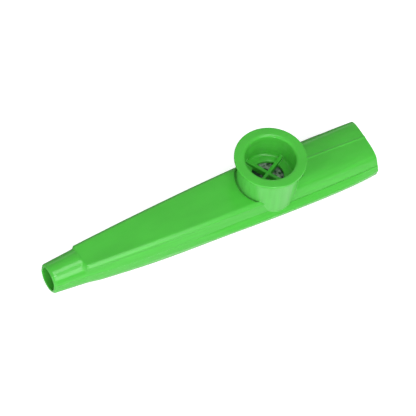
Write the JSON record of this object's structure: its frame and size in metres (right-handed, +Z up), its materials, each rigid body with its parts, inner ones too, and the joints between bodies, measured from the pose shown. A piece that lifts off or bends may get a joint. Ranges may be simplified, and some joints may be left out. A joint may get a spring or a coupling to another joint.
{
  "type": "kazoo",
  "caption": "Moulded plastic kazoo: a tapered hollow body with a flat top panel and a round turret, whose push-in cap and cross guard the buzzing membrane.",
  "frame": {"origin": "on the table under the middle of the length, in the body's plane of symmetry", "axes": "+X from the round tip to the mouth end, +Y across the body, +Z up through the turret"},
  "size_m": [0.1146, 0.0232, 0.0248],
  "materials": {
    "shell_plastic": "green moulded plastic, smooth",
    "cap_plastic": "the same green plastic",
    "film": "thin translucent film",
    "ring": "pale stiff plastic"
  },
  "bodies": {
    "body": {"upper_shell": "shell_plastic", "lower_shell": "shell_plastic"},
    "resonator": {"membrane": "film", "membrane_ring": "ring"},
    "cap": {"resonator_cap": "cap_plastic"}
  },
  "joints": [
    {"name": "membrane_lift", "type": "slide", "parent": "body", "child": "resonator", "axis": [0, 0, 1], "range_m": [0, 0.014]},
    {"name": "cap_lift", "type": "slide", "parent": "resonator", "child": "cap", "axis": [0, 0, 1], "range_m": [0, 0.012]}
  ]
}
